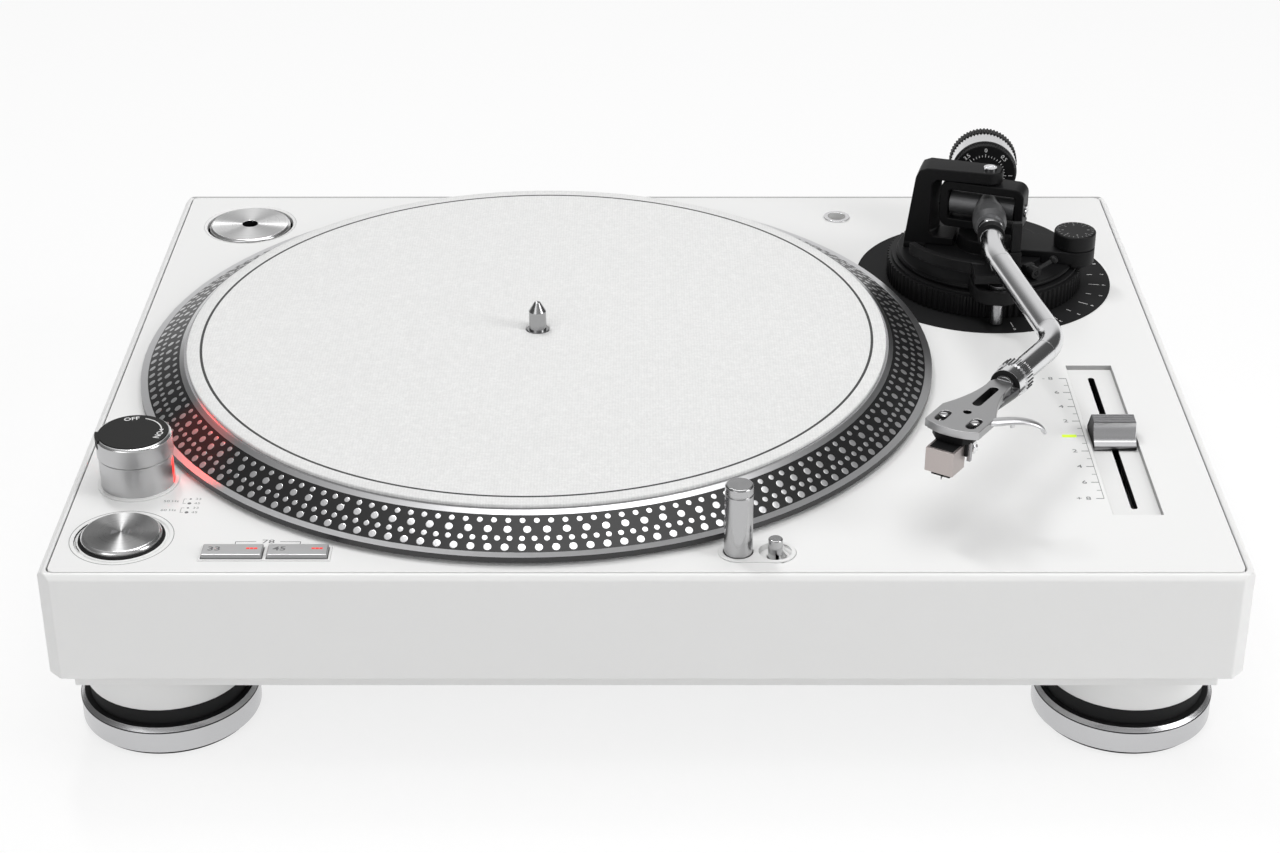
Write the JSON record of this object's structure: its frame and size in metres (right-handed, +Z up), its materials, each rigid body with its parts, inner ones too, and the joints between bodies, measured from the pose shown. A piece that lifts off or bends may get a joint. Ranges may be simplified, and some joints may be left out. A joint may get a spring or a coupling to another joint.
{
  "type": "direct-drive turntable",
  "caption": "Direct-drive record deck for mixing: platter with strobe rim, pitch slider, pop-up target lamp and a gimbal S-shaped tonearm on a body with levelling feet.",
  "frame": {"origin": "bottom centre of the bounding box, on the floor under the middle of the deck", "axes": "+X to the right along the deck's width, +Y to the back, +Z up"},
  "size_m": [0.446, 0.348, 0.1419],
  "materials": {
    "white_shell": "satin moulded",
    "white_plate": "satin paint",
    "white_trim": "satin moulded",
    "black_rubber": "moulded",
    "black_plastic": "satin",
    "black_metal": "satin black",
    "dark_print": "printed disc",
    "bright_aluminium": "turned and brushed",
    "chrome": "polished",
    "steel": "zinc plated",
    "felt": "felt",
    "red_window": "clear red",
    "lamp_lens": "clear lamp",
    "bronze": "sintered",
    "copper": "wound wire",
    "ferrite": "magnet",
    "board": "coated laminate",
    "gold": "plated",
    "rose_silver": "metallic"
  },
  "bodies": {
    "deck": {"body_shell": "white_shell", "top_plate": "white_plate", "base_tray": "white_shell", "foot_dampers": "black_rubber", "base_screws": "steel", "scale_disc": "dark_print", "strobe_pillar": "bright_aluminium", "strobe_window": "red_window", "speed_bezel": "white_trim", "lamp_plate": "white_trim", "tempo_bed": "white_trim", "tempo_lamp": "lamp_lens", "headshell_socket": "chrome", "motor_base": "steel", "stator": "copper", "spindle_bearing": "bronze", "circuit_board": "board", "foot_bosses": "white_shell", "rear_panel": "black_plastic", "output_jacks": "gold", "power_inlet": "black_plastic"},
    "platter": {"platter": "bright_aluminium", "rotor_magnet": "ferrite", "spindle": "chrome"},
    "slipmat": {"slipmat": "felt"},
    "adaptor": {"adaptor_45": "bright_aluminium"},
    "power_knob": {"power_knob": "bright_aluminium"},
    "start_button": {"start_button": "bright_aluminium"},
    "speed_key_33": {"speed_key_33": "bright_aluminium"},
    "speed_key_45": {"speed_key_45": "bright_aluminium"},
    "lamp_button": {"lamp_button": "bright_aluminium"},
    "target_lamp": {"target_lamp": "bright_aluminium"},
    "tempo_knob": {"tempo_knob": "bright_aluminium"},
    "height_ring": {"height_ring": "black_plastic"},
    "arm_base": {"arm_base": "black_metal", "gimbal_arch": "black_metal", "arch_screw": "chrome", "antiskate_bracket": "black_metal", "arm_rest": "black_plastic", "lift_cylinder": "chrome"},
    "antiskate_knob": {"antiskate_knob": "black_plastic"},
    "cue_lever": {"cue_lever": "black_plastic"},
    "arm_lifter": {"arm_lifter": "black_plastic"},
    "arm_clamp": {"arm_clamp": "black_plastic"},
    "gimbal": {"gimbal_frame": "black_metal", "gimbal_screws": "chrome"},
    "tonearm": {"arm_holder": "black_metal", "arm_tube": "chrome", "rear_shaft": "steel"},
    "weight_sleeve": {"weight_sleeve": "black_plastic"},
    "counterweight": {"counterweight": "steel"},
    "pressure_dial": {"pressure_dial": "black_plastic"},
    "headshell": {"headshell": "bright_aluminium", "finger_lift": "bright_aluminium", "cartridge": "rose_silver"},
    "locking_collar": {"locking_collar": "chrome"},
    "foot_front_left": {"foot_front_left": "bright_aluminium"},
    "foot_front_right": {"foot_front_right": "bright_aluminium"},
    "foot_rear_left": {"foot_rear_left": "bright_aluminium"},
    "foot_rear_right": {"foot_rear_right": "bright_aluminium"}
  },
  "joints": [
    {"name": "platter_spin", "type": "hinge", "parent": "deck", "child": "platter", "pos_m": [-0.04574, -0.0008, 0.0972], "axis": [0, 0, 1], "continuous": true},
    {"name": "mat_slip", "type": "hinge", "parent": "platter", "child": "slipmat", "pos_m": [-0.04574, -0.0008, 0.1012], "axis": [0, 0, 1], "continuous": true},
    {"name": "adaptor_lift", "type": "slide", "parent": "deck", "child": "adaptor", "axis": [0, 0, 1], "range_m": [0, 0.012]},
    {"name": "power_turn", "type": "hinge", "parent": "deck", "child": "power_knob", "pos_m": [-0.19684, -0.10492, 0.1016], "axis": [0, 0, 1], "range_deg": [0, 60]},
    {"name": "start_press", "type": "slide", "parent": "deck", "child": "start_button", "axis": [0, 0, -1], "range_m": [0, 0.0015], "stiffness_N_per_m": 300, "springref_m": -0.004},
    {"name": "speed_33_press", "type": "slide", "parent": "deck", "child": "speed_key_33", "axis": [0, 0, -1], "range_m": [0, 0.0012], "stiffness_N_per_m": 250, "springref_m": -0.003},
    {"name": "speed_45_press", "type": "slide", "parent": "deck", "child": "speed_key_45", "axis": [0, 0, -1], "range_m": [0, 0.0012], "stiffness_N_per_m": 250, "springref_m": -0.003},
    {"name": "lamp_release", "type": "slide", "parent": "deck", "child": "lamp_button", "axis": [0, 0, -1], "range_m": [0, 0.0025], "stiffness_N_per_m": 200, "springref_m": -0.003},
    {"name": "lamp_travel", "type": "slide", "parent": "deck", "child": "target_lamp", "axis": [0, 0, -1], "range_m": [0, 0.026], "stiffness_N_per_m": 60, "springref_m": -0.02},
    {"name": "tempo_slide", "type": "slide", "parent": "deck", "child": "tempo_knob", "axis": [0, 1, 0], "range_m": [-0.05, 0.05]},
    {"name": "height_turn", "type": "hinge", "parent": "deck", "child": "height_ring", "pos_m": [0.15234, 0.08044, 0.0942], "axis": [0, 0, 1], "range_deg": [0, 120]},
    {"name": "arm_height", "type": "slide", "parent": "deck", "child": "arm_base", "axis": [0, 0, 1], "range_m": [0, 0.006]},
    {"name": "antiskate_turn", "type": "hinge", "parent": "arm_base", "child": "antiskate_knob", "pos_m": [0.19104, 0.07274, 0.111], "axis": [0, 0, 1], "range_deg": [0, 300]},
    {"name": "lift_rise", "type": "slide", "parent": "arm_base", "child": "arm_lifter", "axis": [0, 0, 1], "range_m": [0, 0.0032]},
    {"name": "cue_turn", "type": "hinge", "parent": "arm_base", "child": "cue_lever", "pos_m": [0.16914, 0.05194, 0.1049], "axis": [0.4848, -0.8746, 0], "range_deg": [0, 45]},
    {"name": "clamp_swing", "type": "hinge", "parent": "arm_base", "child": "arm_clamp", "pos_m": [0.16104, 0.04894, 0.1141], "axis": [0, 1, 0], "range_deg": [0, 50]},
    {"name": "arm_swing", "type": "hinge", "parent": "arm_base", "child": "gimbal", "pos_m": [0.15234, 0.08044, 0.1233], "axis": [0, 0, -1], "range_deg": [0, 43]},
    {"name": "arm_tilt", "type": "hinge", "parent": "gimbal", "child": "tonearm", "pos_m": [0.15234, 0.08044, 0.1233], "axis": [-0.9397, 0.342, 0], "range_deg": [-2.2, 5]},
    {"name": "headshell_draw", "type": "slide", "parent": "tonearm", "child": "headshell", "axis": [-0.5372, -0.843, 0.0273], "range_m": [0, 0.015]},
    {"name": "collar_turn", "type": "hinge", "parent": "tonearm", "child": "locking_collar", "pos_m": [0.13687, -0.10078, 0.12821], "axis": [-0.5372, -0.843, 0.0273], "range_deg": [0, 90]},
    {"name": "weight_travel", "type": "slide", "parent": "tonearm", "child": "weight_sleeve", "axis": [0.0783, 0.9966, -0.0269], "range_m": [-0.003, 0.006]},
    {"name": "weight_turn", "type": "hinge", "parent": "weight_sleeve", "child": "counterweight", "pos_m": [0.15618, 0.12927, 0.12198], "axis": [0.0783, 0.9966, -0.0269], "range_deg": [-360, 720]},
    {"name": "dial_turn", "type": "hinge", "parent": "weight_sleeve", "child": "pressure_dial", "pos_m": [0.1554, 0.11931, 0.12225], "axis": [0.0783, 0.9966, -0.0269], "continuous": true},
    {"name": "foot_front_left_turn", "type": "hinge", "parent": "deck", "child": "foot_front_left", "pos_m": [-0.18734, -0.1288, 0.0125], "axis": [0, 0, 1], "range_deg": [0, 360]},
    {"name": "foot_front_right_turn", "type": "hinge", "parent": "deck", "child": "foot_front_right", "pos_m": [0.18734, -0.1288, 0.0125], "axis": [0, 0, 1], "range_deg": [0, 360]},
    {"name": "foot_rear_left_turn", "type": "hinge", "parent": "deck", "child": "foot_rear_left", "pos_m": [-0.18734, 0.1288, 0.0125], "axis": [0, 0, 1], "range_deg": [0, 360]},
    {"name": "foot_rear_right_turn", "type": "hinge", "parent": "deck", "child": "foot_rear_right", "pos_m": [0.18734, 0.1288, 0.0125], "axis": [0, 0, 1], "range_deg": [0, 360]}
  ],
  "couplings": [
    {"joint": "height_turn", "follows": "arm_height", "rad_per_m": 349},
    {"joint": "cue_turn", "follows": "lift_rise", "rad_per_m": 245},
    {"joint": "weight_travel", "follows": "weight_turn", "m_per_rad": 0.00047746}
  ]
}
